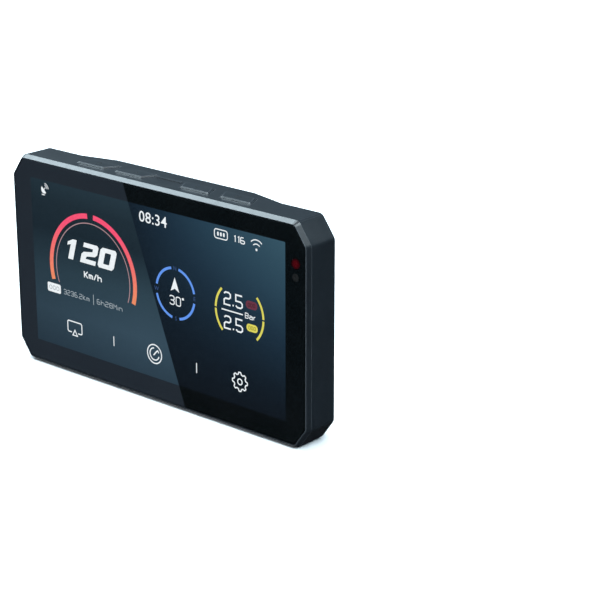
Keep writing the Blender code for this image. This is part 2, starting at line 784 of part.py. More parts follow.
def breather_plug():
    """Vent plug in the lower facet of the cover."""
    profile = [(0.0, 0.0022), (0.0015, 0.0022), (0.0021, 0.0016), (0.0021, -0.0012), (0.0, -0.0012)]
    turned("breather_plug", profile, at(0.0450, 0.0172, -0.0367), 20, paint=black_rubber())


# ---- mount ----------------------------------------------------------------------
def bolt_places(depth):
    return [at(sx * BOLT_X, depth, MOUNT_Z + sz * BOLT_Z) for sz in (1, -1) for sx in (-1, 1)]


def mount_plate():
    """Dark plate with four ears and a shallow notch above and below."""
    half = [(0.0093, 0.0159), (0.0136, 0.0177), (0.0180, 0.0177), (0.0265, 0.0165), (0.0300, 0.0134)]
    right = half + [(x, -z) for x, z in reversed(half)]
    outline = right + [(-x, z) for x, z in reversed(right)]
    outline = [(x, z + MOUNT_Z) for x, z in outline]
    body = plate("mount_plate", outline, PLATE_FRONT, PLATE_REAR, dark_steel())
    rounded(body, 0.0003)
    for index, place in enumerate(bolt_places(PLATE_REAR)):
        boolean(body, rod(f"grommet_hole_{index}", place, GROMMET_NECK + 0.0004, 0.0060, 20,
                          group=CUTTERS))
    for sx in (-1, 1):
        boolean(body, rod(f"plate_thread_{sx}", at(sx * BASE_SCREW_X, PLATE_REAR, MOUNT_Z), 0.0015,
                          0.0060, 12, group=CUTTERS))
    return body


def grommets():
    """Spool-shaped rubber rings that carry the plate."""
    low = PAD_DEPTH + GAP
    high = PLATE_REAR + 0.0018 - low
    lip = PLATE_REAR + PLATE_PLAY - low
    bore = BOLT_SHANK + GAP
    radius = GROMMET_RADIUS
    profile = [(bore, high), (radius - 0.0004, high), (radius, high - 0.0004), (radius, lip),
               (GROMMET_NECK, lip), (GROMMET_NECK, 0.0006), (radius - 0.0006, 0.0006),
               (radius - 0.0006, 0.0), (bore, 0.0)]
    ring = turned("grommet", profile, (0.0, 0.0, 0.0), 24, paint=red_rubber(), ring=True)
    keep(ring, "grommet", red_rubber())
    copies(ring, bolt_places(low), "grommet")


def mount_bolts():
    """Cup-headed bolts: a bright rim round a dished recess with a six-sided socket."""
    seat = PLATE_REAR + 0.0021
    profile = [(0.0, 0.0005), (0.0026, 0.0006), (0.0039, 0.0014), (BOLT_HEAD - 0.0003, 0.0014),
               (BOLT_HEAD, 0.0011), (BOLT_HEAD, 0.0), (BOLT_SHANK, 0.0), (BOLT_SHANK, -0.0100),
               (0.0, -0.0100)]
    bolt = turned("mount_bolt", profile, (0.0, 0.0, 0.0), 24, paint=bright_steel())
    socket = rod("bolt_socket", (0.0, 0.0005, 0.0), 0.0015, 0.0020, 6, group=CUTTERS)
    bolt = keep(settled(boolean(bolt, socket)), "mount_bolt", bright_steel())
    copies(bolt, bolt_places(seat), "mount_bolt")


def base_outline(inset):
    """Eight-sided outline of the ball base, long edges top and bottom."""
    half = [(0.0077 - inset * 0.45, 0.0107 - inset), (0.0222 - inset, 0.0035 - inset * 0.25)]
    right = half + [(x, -z) for x, z in reversed(half)]
    return [(x, z + MOUNT_Z) for x, z in right + [(-x, z) for x, z in reversed(right)]]


def ball_base():
    front = PLATE_REAR + GAP
    body = loft("ball_base", [
        [at(x, front, z) for x, z in base_outline(0.0)],
        [at(x, BASE_SHOULDER, z) for x, z in base_outline(0.0)],
        [at(x, BASE_REAR, z) for x, z in base_outline(BASE_BEVEL)],
    ], dark_steel())
    centre = at(0.0, BASE_REAR, MOUNT_Z)
    boolean(body, rod("stud_bore", centre, 0.0045 + GAP, 0.0080, 24, group=CUTTERS))
    for sx in (-1, 1):
        place = at(sx * BASE_SCREW_X, BASE_REAR, MOUNT_Z)
        boolean(body, rod(f"base_hole_{sx}", place, 0.0015, 0.0140, 12, group=CUTTERS))
        place = at(sx * BASE_SCREW_X, BASE_REAR + 0.0020, MOUNT_Z)
        boolean(body, rod(f"base_seat_{sx}", place, 0.0023, 0.0050, 20, group=CUTTERS))
    return body


def ball_stud():
    """Ball, waist and round flange, with a spigot in the base."""
    start = BASE_REAR + GAP
    centre = BALL_DEPTH - start
    waist = math.asin(NECK_RADIUS / BALL_RADIUS)
    steps = 14
    profile = []
    for index in range(steps + 1):
        angle = (math.pi - waist) * index / steps
        profile.append((BALL_RADIUS * math.sin(angle), centre + BALL_RADIUS * math.cos(angle)))
    profile += [(NECK_RADIUS, 0.0040), (NECK_RADIUS + 0.0010, 0.0024), (NECK_FLANGE - 0.0004, 0.0016),
                (NECK_FLANGE, 0.0012), (NECK_FLANGE, 0.0), (0.0045, 0.0), (0.0045, -0.0030),
                (0.0, -0.0030)]
    return turned("ball_stud", profile, at(0.0, start, MOUNT_Z), 36, paint=dark_steel())


def base_screws():
    profile = [(0.0, 0.0011), (0.0014, 0.0011), (0.0019, 0.0007), (0.0020, 0.0), (0.0012, 0.0),
               (0.0012, -0.0066), (0.0, -0.0066)]
    screw = turned("base_screw", profile, (0.0, 0.0, 0.0), 16, paint=dark_steel())
    socket = rod("base_socket", (0.0, 0.0011, 0.0), 0.0010, 0.0014, 6, group=CUTTERS)
    screw = keep(settled(boolean(screw, socket)), "base_screw", dark_steel())
    places = [at(sx * BASE_SCREW_X, BASE_REAR - 0.0002, MOUNT_Z) for sx in (-1, 1)]
    copies(screw, places, "base_screw")


def main():
    clear_scene()
    front_frame()
    cover_glass()
    sensor_lens()
    glass_adhesive()
    display_stack()
    electronics()
    buttons()
    button_works()
    rear_cover()
    perimeter_seal()
    carbon_panels()
    cover_screws()
    inlet()
    breather_plug()
    mount_plate()
    grommets()
    mount_bolts()
    ball_base()
    ball_stud()
    base_screws()


main()
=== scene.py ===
"""Looks of the rider's dash display: painted case, lit screen with its dials, woven
panels, red rubber mounts and the ball behind, in a plain studio."""

import json
import math

import bmesh
import bpy
from mathutils import Matrix, Vector


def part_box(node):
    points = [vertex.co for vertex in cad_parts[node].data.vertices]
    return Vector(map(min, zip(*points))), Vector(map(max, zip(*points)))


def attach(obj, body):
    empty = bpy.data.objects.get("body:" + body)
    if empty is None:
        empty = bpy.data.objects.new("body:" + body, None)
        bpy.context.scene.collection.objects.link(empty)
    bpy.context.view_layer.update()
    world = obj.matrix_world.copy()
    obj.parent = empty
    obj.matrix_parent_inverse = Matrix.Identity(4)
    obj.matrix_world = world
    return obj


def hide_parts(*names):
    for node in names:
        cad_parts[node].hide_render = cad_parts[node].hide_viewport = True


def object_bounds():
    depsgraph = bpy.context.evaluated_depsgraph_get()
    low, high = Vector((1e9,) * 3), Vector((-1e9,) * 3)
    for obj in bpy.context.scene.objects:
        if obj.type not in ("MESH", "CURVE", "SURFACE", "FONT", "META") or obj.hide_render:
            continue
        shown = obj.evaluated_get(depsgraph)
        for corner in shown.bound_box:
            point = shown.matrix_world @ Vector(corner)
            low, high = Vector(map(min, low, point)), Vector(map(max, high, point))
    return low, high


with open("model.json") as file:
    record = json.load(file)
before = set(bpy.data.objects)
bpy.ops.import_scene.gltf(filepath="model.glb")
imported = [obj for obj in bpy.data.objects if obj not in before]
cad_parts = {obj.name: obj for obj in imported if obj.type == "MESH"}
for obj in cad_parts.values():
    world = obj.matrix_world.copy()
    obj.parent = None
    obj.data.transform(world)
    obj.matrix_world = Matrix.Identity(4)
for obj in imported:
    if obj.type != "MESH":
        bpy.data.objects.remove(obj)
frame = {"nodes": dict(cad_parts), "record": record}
cad_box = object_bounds()

MM = 0.001
FILM = 0.02               # thickness of each printed or lit layer on the glass, mm
CASE = "display_unit"     # body that the case and everything on its glass moves with
MOUNT = "ball_mount"      # body of the plate, the base and the ball

glass_low, glass_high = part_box("cover_glass")
GLASS_X = (glass_low.x + glass_high.x) / 2
GLASS_Z = (glass_low.z + glass_high.z) / 2
GLASS_Y = glass_low.y

# Reach of the lit area from the middle of the glass, in metres.
LIT_SIDE = 0.0688
LIT_FOOT = 0.0342
LIT_TOP = 0.0357

# Slanting edge of the painted glare, between the paler left field and the darker right field, in
# mm.
GLARE_LEAN = 0.366        # move to the left for each mm up
GLARE_EDGE = (1.1, 0.7)   # where the right field ends and the left field is full


# ---- node helpers ---------------------------------------------------------------
class Paint:
    """A Principled material and short calls for the nodes that feed it."""

    def __init__(self, name, colour, roughness, **sockets):
        self.material = bpy.data.materials.new(name)
        self.material.use_nodes = True
        self.nodes = self.material.node_tree.nodes
        self.links = self.material.node_tree.links
        self.shader = self.nodes["Principled BSDF"]
        self.shader.inputs["Base Color"].default_value = (*colour, 1.0)
        self.shader.inputs["Roughness"].default_value = roughness
        for label, value in sockets.items():
            self.shader.inputs[label.replace("_", " ")].default_value = value
        self.place = self.add("ShaderNodeTexCoord").outputs["Object"]

    def add(self, kind, inputs=(), **settings):
        node = self.nodes.new(kind)
        for label, value in settings.items():
            setattr(node, label, value)
        for label, value in dict(inputs).items():
            self.put(node.inputs[label], value)
        return node

    def put(self, socket, value):
        if isinstance(value, bpy.types.NodeSocket):
            self.links.new(value, socket)
        else:
            socket.default_value = value

    def feed(self, label, value):
        self.put(self.shader.inputs[label], value)

    def math(self, operation, first, second=0.0, third=0.0):
        node = self.add("ShaderNodeMath", {0: first, 1: second, 2: third}, operation=operation)
        return node.outputs[0]

    def axes(self):
        return self.add("ShaderNodeSeparateXYZ", {0: self.place}).outputs

    def noise(self, scale, detail, stretch=None):
        """Fractal noise; scale is in lumps per metre, or stretch is, one for each axis."""
        place = self.place
        if stretch is not None:
            place = self.add("ShaderNodeMapping", {"Vector": place, "Scale": stretch}).outputs[0]
        made = self.add("ShaderNodeTexNoise", {"Vector": place, "Scale": scale, "Detail": detail})
        return made.outputs["Fac"]

    def ramp(self, factor, stops):
        """Colour ramp through (position, colour) stops."""
        node = self.add("ShaderNodeValToRGB", {"Fac": factor})
        band = node.color_ramp.elements
        while len(band) < len(stops):
            band.new(0.5)
        for element, (position, colour) in zip(band, stops):
            element.position = position
            element.color = (*colour, 1.0)
        return node.outputs["Color"]

    def spread(self, value, low, high, to_low=0.0, to_high=1.0, smooth=False):
        """Value moved from the range low..high to to_low..to_high, held inside it."""
        node = self.add("ShaderNodeMapRange", {
            "Value": value, "From Min": low, "From Max": high,
            "To Min": to_low, "To Max": to_high})
        if smooth:
            node.interpolation_type = "SMOOTHSTEP"
        return node.outputs[0]

    def mix(self, factor, first, second, blend="MIX"):
        node = self.add("ShaderNodeMix", data_type="RGBA", blend_type=blend)
        self.put(node.inputs["Factor"], factor)
        for socket, value in ((node.inputs[6], first), (node.inputs[7], second)):
            plain = isinstance(value, tuple) and len(value) == 3
            self.put(socket, (*value, 1.0) if plain else value)
        return node.outputs[2]

    def bump(self, height, distance, strength, below=None):
        """Surface normal from a height; distance is its full depth in metres."""
        node = self.add("ShaderNodeBump", {
            "Height": height, "Distance": distance, "Strength": strength})
        if below is not None:
            self.put(node.inputs["Normal"], below)
        return node.outputs[0]

    def edges(self, radius):
        """1 along sharp outer and inner edges, 0 on open faces."""
        soft = self.add("ShaderNodeBevel", {"Radius": radius}, samples=6).outputs[0]
        plain = self.add("ShaderNodeNewGeometry").outputs["Normal"]
        same = self.add("ShaderNodeVectorMath", {0: soft, 1: plain}, operation="DOT_PRODUCT")
        return self.spread(same.outputs["Value"], 1.0, 0.93)


def from_display(level):
    """Linear colour of a display tone given as eight-bit red, green, blue."""
    return tuple((channel / 255) ** 2.2 for channel in level)


def shifted(colour, gain, lift=0.0, limit=1.0):
    """Colour times a gain plus a lift, held under a limit."""
    return tuple(min(channel * gain + lift, limit) for channel in colour)


# ---- materials --------------------------------------------------------------------
def case_paint(name, colour, roughness, specular):
    """Fine-grained satin paint over a casting, with a painted highlight along its sharp edges."""
    paint = Paint(name, colour, roughness)
    paint.shader.inputs["Specular IOR Level"].default_value = specular
    cloud = paint.noise(60.0, 4.0)
    dust = paint.spread(paint.noise(2600.0, 2.0), 0.35, 0.75, 0.0, 0.35)
    tone = paint.mix(paint.spread(cloud, 0.3, 0.7), shifted(colour, 0.86), shifted(colour, 1.16))
    dusty = paint.mix(dust, tone, shifted(colour, 1.9))
    # painted highlight: sharp edges painted much paler, standing in for the bevels catching the
    # light
    paler_edges = paint.spread(paint.edges(0.00045), 0.1, 0.8, 0.0, 0.8)
    paint.feed("Base Color", paint.mix(paler_edges, dusty, shifted(colour, 4.0, 0.05)))
    paint.feed("Roughness", paint.spread(paint.noise(260.0, 2.0), 0.2, 0.8,
                                         roughness - 0.03, roughness + 0.05))
    grain = paint.bump(paint.noise(1500.0, 1.0), 0.00001, 0.15)
    paint.feed("Normal", paint.bump(cloud, 0.00004, 0.02, grain))
    return paint.material


def black_glass():
    """Black back-printed glass with a soft sheen and a painted glare, a faint glow over its left
    side that stands in for a reflection.
    """
    paint = Paint("black_glass", (0.002, 0.003, 0.0035), 0.06, Coat_Weight=0.3,
                  Coat_Roughness=0.03, Specular_IOR_Level=0.2)
    haze = paint.spread(paint.noise(35.0, 2.0), 0.3, 0.7)
    paint.feed("Base Color", paint.mix(haze, (0.0015, 0.0025, 0.003), (0.003, 0.004, 0.0045)))
    # painted glare: faint glow left of the slanting line, standing in for a reflection on the
    # glass
    painted_glare = paint.mix(glare_line(paint, paint.axes()), (0.0, 0.0, 0.0), (0.014, 0.019, 0.027))
    paint.feed("Emission Color", painted_glare)
    paint.shader.inputs["Emission Strength"].default_value = 1.0
    paint.feed("Roughness", paint.spread(paint.noise(220.0, 4.0), 0.35, 0.7, 0.045, 0.09))
    return paint.material


def glare_line(paint, axes):
    """1 to the left of a slanting line across the display, 0 to the right."""
    x_mm = paint.math("MULTIPLY_ADD", axes["X"], 1000.0, -GLASS_X * 1000.0)
    z_mm = paint.math("MULTIPLY_ADD", axes["Z"], 1000.0, -GLASS_Z * 1000.0)
    lean = paint.math("MULTIPLY_ADD", z_mm, GLARE_LEAN, x_mm)
    return paint.spread(lean, *GLARE_EDGE)


def wallpaper():
    """Dim blue-grey background of the lit screen, in two slanting fields; the paler left field is
    a painted glare on the glass.
    """
    paint = Paint("screen_wallpaper", (0.004, 0.006, 0.008), 0.08, Coat_Weight=0.35,
                  Coat_Roughness=0.03, Specular_IOR_Level=0.22)
    pixels_per_metre = 5200.0
    axes = paint.axes()
    across = paint.spread(axes["X"], GLASS_X - LIT_SIDE, GLASS_X + LIT_SIDE)
    up = paint.spread(axes["Z"], GLASS_Z - LIT_FOOT, GLASS_Z + LIT_TOP)
    # painted glare: the paler left field, dimmer towards the left edge, stands in for a reflection
    # on the glass
    left = paint.ramp(up, [
        (0.0, from_display((44, 60, 72))), (0.22, from_display((54, 73, 86))),
        (0.48, from_display((46, 64, 74))), (0.72, from_display((27, 38, 45))),
        (0.88, from_display((31, 43, 50))), (1.0, from_display((38, 53, 61)))])
    dimmer = paint.spread(across, 0.0, 0.45, 0.35, 0.0)
    left = paint.mix(dimmer, left, from_display((20, 28, 34)))
    rise = paint.math("POWER", up, 1.3)
    reach = paint.spread(across, 0.42, 1.0, 0.14, 1.0)
    light = paint.math("MULTIPLY", rise, reach)
    right = paint.ramp(light, [
        (0.0, from_display((8, 11, 17))), (0.1, from_display((13, 22, 31))),
        (0.35, from_display((27, 44, 58))), (0.6, from_display((40, 63, 78))),
        (1.0, from_display((54, 82, 96)))])
    screen_and_glare = paint.mix(glare_line(paint, axes), right, left)
    grid = [paint.math("FRACT", paint.math("MULTIPLY", axes[axis], pixels_per_metre))
            for axis in "XZ"]
    cell = paint.math("MINIMUM", *[paint.math("PINGPONG", part, 0.5) for part in grid])
    pixel = paint.spread(cell, 0.0, 0.12, 0.86, 1.03)
    paint.feed("Emission Color", paint.mix(1.0, screen_and_glare, pixel, "MULTIPLY"))
    paint.shader.inputs["Emission Strength"].default_value = 1.0
    return paint.material


def lit(name, colour, fade=None):
    """Lit marks on the screen; fade is a second colour for higher up, and the two heights
    in mm that the first blends into it between."""
    paint = Paint(name, (0.01, 0.01, 0.01), 0.1, Coat_Weight=0.3, Coat_Roughness=0.03,
                  Specular_IOR_Level=0.22)
    tone = (*colour, 1.0)
    if fade is not None:
        second, low, high = fade
        up = paint.spread(paint.axes()["Z"], GLASS_Z + low * MM, GLASS_Z + high * MM)
        tone = paint.mix(up, colour, second)
    shade = paint.spread(paint.noise(900.0, 1.0), 0.3, 0.7, 0.94, 1.04)
    paint.feed("Emission Color", paint.mix(1.0, tone, shade, "MULTIPLY"))
    paint.shader.inputs["Emission Strength"].default_value = 1.0
    return paint.material


def carbon_weave():
    """Two-over, two-under twill of dark fibre bundles under a clear coat, with a painted sheen on
    one set of bundles.
    """
    tow = 0.0020              # width of one bundle of fibres
    paint = Paint("woven_fibre", (0.006, 0.007, 0.008), 0.4, Coat_Weight=0.12,
                  Coat_Roughness=0.15, Specular_IOR_Level=0.3)
    axes = paint.axes()
    column = paint.math("DIVIDE", axes["X"], tow)
    row = paint.math("DIVIDE", axes["Z"], tow)
    steps = paint.math("SUBTRACT", paint.math("FLOOR", column), paint.math("FLOOR", row))
    turn = paint.math("FLOORED_MODULO", steps, 4.0)
    over = paint.math("LESS_THAN", turn, 1.5)
    along_x = paint.math("PINGPONG", row, 0.5)
    along_z = paint.math("PINGPONG", column, 0.5)
    crown_x = paint.math("PINGPONG", paint.math("MULTIPLY", along_x, 2.0), 1.0)
    crown_z = paint.math("PINGPONG", paint.math("MULTIPLY", along_z, 2.0), 1.0)
    fibre_x = paint.noise(1.0, 2.0, (500.0, 500.0, 14000.0))
    fibre_z = paint.noise(1.0, 2.0, (14000.0, 500.0, 500.0))
    under = paint.math("SUBTRACT", 1.0, over)
    crown = paint.math("ADD", paint.math("MULTIPLY", crown_z, over),
                       paint.math("MULTIPLY", crown_x, under))
    fibre = paint.math("ADD", paint.math("MULTIPLY", fibre_z, over),
                       paint.math("MULTIPLY", fibre_x, under))
    gap = paint.spread(crown, 0.0, 0.35, 0.75, 0.0)
    thread = paint.spread(fibre, 0.35, 0.7, 0.0, 0.22)
    # painted sheen: the bundles running up and down are painted paler than those running across,
    # standing in for the fibres' sheen in this light
    shade = paint.mix(over, (0.0012, 0.0015, 0.0018), (0.0095, 0.0105, 0.0125))
    shade = paint.mix(gap, shade, (0.0008, 0.001, 0.0012))
    shade = paint.mix(thread, shade, (0.016, 0.0175, 0.020))
    paint.feed("Base Color", shade)
    paint.feed("Roughness", paint.spread(fibre, 0.3, 0.7, 0.28, 0.5))
    weave = paint.bump(crown, 0.00022, 0.8)
    paint.feed("Normal", paint.bump(fibre, 0.00002, 0.6, weave))
    return paint.material


def moulded(name, colour, roughness, bloom_gain=1.9):
    """Moulded rubber or plastic with a faint orange-peel skin and a dusty bloom."""
    paint = Paint(name, colour, roughness)
    bloom = paint.spread(paint.noise(420.0, 4.0), 0.35, 0.75, 0.0, 0.5)
    paint.feed("Base Color", paint.mix(bloom, colour, shifted(colour, bloom_gain)))
    paint.feed("Roughness", paint.spread(paint.noise(900.0, 2.0), 0.3, 0.7,
                                         roughness - 0.08, roughness + 0.1))
    paint.feed("Normal", paint.bump(paint.noise(3000.0, 2.0), 0.00002, 0.4))
    return paint.material


def metal(name, colour, roughness, edge_paleness=0.4, marks=(2500.0, 2500.0, 2500.0)):
    """Machined or blackened metal: tool marks, smudges and bright edges."""
    paint = Paint(name, colour, roughness, Metallic=1.0)
    smudge = paint.noise(300.0, 4.0)
    tone = paint.mix(paint.spread(smudge, 0.3, 0.7), shifted(colour, 0.8), shifted(colour, 1.2))
    # paler along sharp edges
    paler_edges = paint.spread(paint.edges(0.0002), 0.1, 0.8, 0.0, edge_paleness)
    paint.feed("Base Color", paint.mix(paler_edges, tone, shifted(colour, 3.0, 0.06, 0.9)))
    paint.feed("Roughness", paint.spread(smudge, 0.3, 0.7, roughness - 0.06, roughness + 0.1))
    paint.feed("Normal", paint.bump(paint.noise(1.0, 2.0, marks), 0.00001, 0.5))
    return paint.material


def red_lens():
    """Deep red tinted window that glows dimly, most at its middle."""
    paint = Paint("red_lens", (0.02, 0.0, 0.001), 0.12, Coat_Weight=0.3, Coat_Roughness=0.04)
    low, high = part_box("sensor_lens")
    middle = (low + high) / 2
    offset = paint.add("ShaderNodeVectorMath", {0: paint.place, 1: tuple(middle)},
                       operation="SUBTRACT")
    flat = paint.add("ShaderNodeVectorMath", {0: offset.outputs[0], 1: (1.0, 0.0, 1.0)},
                     operation="MULTIPLY")
    length = paint.add("ShaderNodeVectorMath", {0: flat.outputs[0]}, operation="LENGTH")
    glow = paint.spread(length.outputs["Value"], 0.0004, 0.0019, 1.0, 0.0, smooth=True)
    speck = paint.spread(paint.noise(2500.0, 2.0), 0.3, 0.7, 0.75, 1.1)
    tone = paint.mix(glow, (0.010, 0.0, 0.0003), (0.05, 0.0006, 0.0015))
    paint.feed("Emission Color", paint.mix(1.0, tone, speck, "MULTIPLY"))
    paint.shader.inputs["Emission Strength"].default_value = 0.9
    return paint.material


def floor_paint():
    """Nearly white matt floor with a very faint cloud."""
    paint = Paint("studio_floor", (0.9, 0.9, 0.9), 0.7, Specular_IOR_Level=0.1)
    cloud = paint.spread(paint.noise(3.0, 2.0), 0.3, 0.7)
    paint.feed("Base Color", paint.mix(cloud, (0.895, 0.9, 0.905), (0.92, 0.92, 0.92)))
    return paint.material


# ---- flat shapes on the glass ---------------------------------------------------------
def arc(centre, radius, start, end, steps):
    """Points along an arc; angles in degrees from +X, turning up towards +Z."""
    points = []
    for step in range(steps + 1):
        angle = math.radians(start + (end - start) * step / steps)
        points.append((centre[0] + radius * math.cos(angle), centre[1] + radius * math.sin(angle)))
    return points


def rounded_box(centre, size, radius, steps=5):
    """Outline of a box with rounded corners, each in the given number of steps."""
    half_x, half_z = size[0] / 2 - radius, size[1] / 2 - radius
    points = []
    for quarter, (sx, sz) in enumerate(((1, 1), (-1, 1), (-1, -1), (1, -1))):
        corner = (centre[0] + sx * half_x, centre[1] + sz * half_z)
        points += arc(corner, radius, quarter * 90, quarter * 90 + 90, steps)
    return points


# Square figures and letters on a grid 4 across and 8 high; each pair of digits is one
# point, across and up, and each string is one stroke.
FIGURE_HEIGHT = 8
FIGURE_GAP = 1.7
FIGURES = {
    "0": ["10 01 07 18 38 47 41 30 10"],
    "1": ["17 28 20"],
    "2": ["07 18 38 47 45 34 14 03 00 40"],
    "3": ["07 18 38 47 45 34 14", "34 43 41 30 10 01"],
    "5": ["48 08 04 34 43 41 30 10 01"],
    "6": ["38 18 07 01 10 30 41 43 34 04"],
    "8": ["14 05 07 18 38 47 45 34 14 03 01 10 30 41 43 34"],
    "B": ["04 34 43 41 30 00 08 38 47 45 34"],
    "K": ["00 08", "48 14 40"],
    "M": ["00 08 24 48 40"],
    "a": ["05 35 44 40 10 01 02 13 43"],
    "h": ["00 08", "04 15 35 44 40"],
    "i": ["00 05"],
    "k": ["00 08", "36 03 40"],
    "m": ["00 05 35 44 40", "25 20"],
    "n": ["00 05 35 44 40"],
    "r": ["00 05", "03 15 25"],
    "/": ["00 38"],
    ".": ["00 01"],
    "°": ["07 08 18 17 07"],
}


def place_piece(name, mesh, body):
    """Object for a finished mesh, riding on a body."""
    item = bpy.data.objects.new(name, mesh)
    bpy.context.scene.collection.objects.link(item)
    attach(item, body)
    return item


class Layer:
    """Thin closed shapes on the front of the glass, gathered into one piece."""

    def __init__(self, name, material, level, slot="display_face"):
        self.name = name
        self.material = material
        self.rear = GLASS_Y - level * FILM * MM
        self.slot = slot
        self.work = bmesh.new()

    def point(self, x, z, front):
        """Place on the front or the rear of the layer, x and z in mm from mid-glass."""
        y = self.rear - (FILM * MM if front else 0.0)
        return Vector((GLASS_X + x * MM, y, GLASS_Z + z * MM))

    def slab(self, outline):
        """Filled outline."""
        fronts = [self.work.verts.new(self.point(x, z, True)) for x, z in outline]
        backs = [self.work.verts.new(self.point(x, z, False)) for x, z in outline]
        self.work.faces.new(fronts)
        self.work.faces.new(backs[::-1])
        self.skirt(fronts, backs)

    def skirt(self, fronts, backs):
        """Thin side wall round a slab."""
        for index in range(len(fronts)):
            after = (index + 1) % len(fronts)
            self.work.faces.new((fronts[after], fronts[index], backs[index], backs[after]))

    def stroke(self, points, width, closed=False):
        """Line of even width with mitred joints."""
        left, right = [], []
        count = len(points)
        for index, point in enumerate(points):
            here = Vector(point)
            before = Vector(points[index - 1]) if index or closed else None
            after = Vector(points[(index + 1) % count]) if index < count - 1 or closed else None
            come = here - before if before is not None else after - here
            go = after - here if after is not None else come
            come, go = come.normalized(), go.normalized()
            aside = Vector((-come.y - go.y, come.x + go.x)).normalized()
            reach = width / 2 / max(aside.dot(Vector((-come.y, come.x))), 0.5)
            left.append(here + aside * reach)
            right.append(here - aside * reach)
        lines = [[self.work.verts.new(self.point(*place, front)) for place in side]
                 for front, side in ((True, left), (True, right), (False, right), (False, left))]
        self.tube(lines, count if closed else count - 1)
        if not closed:
            self.work.faces.new([line[0] for line in lines])
            self.work.faces.new([line[-1] for line in reversed(lines)])

    def tube(self, lines, spans):
        """Faces all round between four matching lines of points, span by span."""
        for index in range(spans):
            after = (index + 1) % len(lines[0])
            for one, two in zip(lines, lines[1:] + lines[:1]):
                self.work.faces.new((one[index], one[after], two[after], two[index]))

    def figures(self, text, centre, height, width, weight):
        """Square-cornered text, centred, of a given height and overall width."""
        runs, reach = [], 0.0
        for letter in text:
            strokes = [[(reach + int(pair[0]), int(pair[1])) for pair in run.split()]
                       for run in FIGURES[letter]]
            runs += strokes
            reach = max(x for run in strokes for x, z in run) + FIGURE_GAP
        reach -= FIGURE_GAP
        for run in runs:
            points = [(centre[0] + (x / reach - 0.5) * width,
                       centre[1] + (z / FIGURE_HEIGHT - 0.5) * height) for x, z in run]
            closed = points[0] == points[-1]
            self.stroke(points[:-1] if closed else points, weight, closed)

    def ring(self, outer, inner):
        """Area between two outlines with the same number of points."""
        lines = [[self.work.verts.new(self.point(x, z, front)) for x, z in side]
                 for front, side in ((True, outer), (True, inner), (False, inner), (False, outer))]
        self.tube(lines, len(outer))

    def words(self, text, centre, height, width=None, weight=0.0, spacing=1.0):
        """Text in Blender's own font, centred, with a given height and overall width."""
        curve = bpy.data.curves.new("words", "FONT")
        curve.body = text
        curve.space_character = spacing
        curve.offset = weight
        curve.resolution_u = 3
        item = bpy.data.objects.new("words", curve)
        bpy.context.scene.collection.objects.link(item)
        bpy.context.view_layer.update()
        graph = bpy.context.evaluated_depsgraph_get()
        mesh = bpy.data.meshes.new_from_object(item.evaluated_get(graph))
        bpy.data.objects.remove(item)
        bpy.data.curves.remove(curve)
        xs = [v.co.x for v in mesh.vertices]
        ys = [v.co.y for v in mesh.vertices]
        tall = height / (max(ys) - min(ys))
        wide = tall if width is None else width / (max(xs) - min(xs))
        middle = ((max(xs) + min(xs)) / 2, (max(ys) + min(ys)) / 2)
        glyphs = bmesh.new()
        glyphs.from_mesh(mesh)
        bpy.data.meshes.remove(mesh)
        bmesh.ops.remove_doubles(glyphs, verts=glyphs.verts, dist=0.0005)
        rim = [edge for edge in glyphs.edges if edge.is_boundary]
        lift = {}
        for front in (True, False):
            for vertex in glyphs.verts:
                x = centre[0] + (vertex.co.x - middle[0]) * wide
                z = centre[1] + (vertex.co.y - middle[1]) * tall
                lift[vertex.index, front] = self.work.verts.new(self.point(x, z, front))
        for face in glyphs.faces:
            loop = [vertex.index for vertex in face.verts]
            self.work.faces.new([lift[i, True] for i in loop])
            self.work.faces.new([lift[i, False] for i in loop[::-1]])
        for edge in rim:
            a, b = (vertex.index for vertex in edge.verts)
            self.work.faces.new((lift[a, True], lift[b, True], lift[b, False], lift[a, False]))
        glyphs.free()

    def finish(self):
        """Make the piece, riding on the case."""
        bmesh.ops.recalc_face_normals(self.work, faces=self.work.faces)
        mesh = bpy.data.meshes.new(self.name)
        self.work.to_mesh(mesh)
        self.work.free()
        mesh.materials.append(self.material)
        place_piece(self.name, mesh, CASE)


# ---- the screen -------------------------------------------------------------------
# Middles of the dials and signs, in mm from mid-glass, across and up.
SPEED_AT = (-33.8, 1.2)
COMPASS_AT = (12.6, 3.6)
TYRES_AT = (46.0, 3.0)
TRIP_LABEL_AT = (-57.1, -9.3)
RECORDER_AT = (37.1, 32.3)
SATELLITE_AT = (-60.6, 32.0)
WIRELESS_FOOT = (54.9, 29.9)
MONITOR_AT = (-45.6, -24.3)
GAUGE_AT = (0.3, -24.3)
GEAR_AT = (45.9, -24.4)
MENU_LINES_X = (-22.7, 23.2)
TYRE_LOW_AT = (52.2, 7.7)      # dark red block beside the upper pressure
TYRE_GOOD_AT = (52.4, -1.3)    # yellow block beside the lower pressure

SPEED_FOOT = 5.3               # height of the foot of the speed figures
SPEED_LEFT = (-47.9, -40.9, -30.9)
SPEED_LEAN = 0.30              # move to the right for each mm up
COMPASS_RADIUS = 10.2
TYRE_RADIUS = 12.1

# White readouts: text, middle, height, width and line weight in mm.
READOUTS = [
    ("Km/h", (-33.7, 0.5), 2.6, 9.8, 0.55),
    ("30°", (13.2, 0.6), 3.5, 7.4, 0.42),
    ("2.5", (42.9, 7.7), 4.9, 9.2, 0.62),
    ("2.5", (42.9, -1.8), 4.9, 9.2, 0.62),
    ("116", (46.2, 32.0), 2.3, 5.6, 0.42),
    ("Bar", (51.5, 3.1), 2.0, 5.0, 0.3),
]


def screen_background():
    """The lit area behind all marks."""
    layer = Layer("screen_wallpaper", wallpaper(), 0)
    layer.slab(rounded_box((0.15, 0.75), (137.5, 70.0), 0.4, 3))
    layer.finish()


def slanted(points, origin):
    """Upright figure outline leaned to the right about its foot."""
    return [(origin[0] + x + z * SPEED_LEAN, origin[1] + z) for x, z in points]


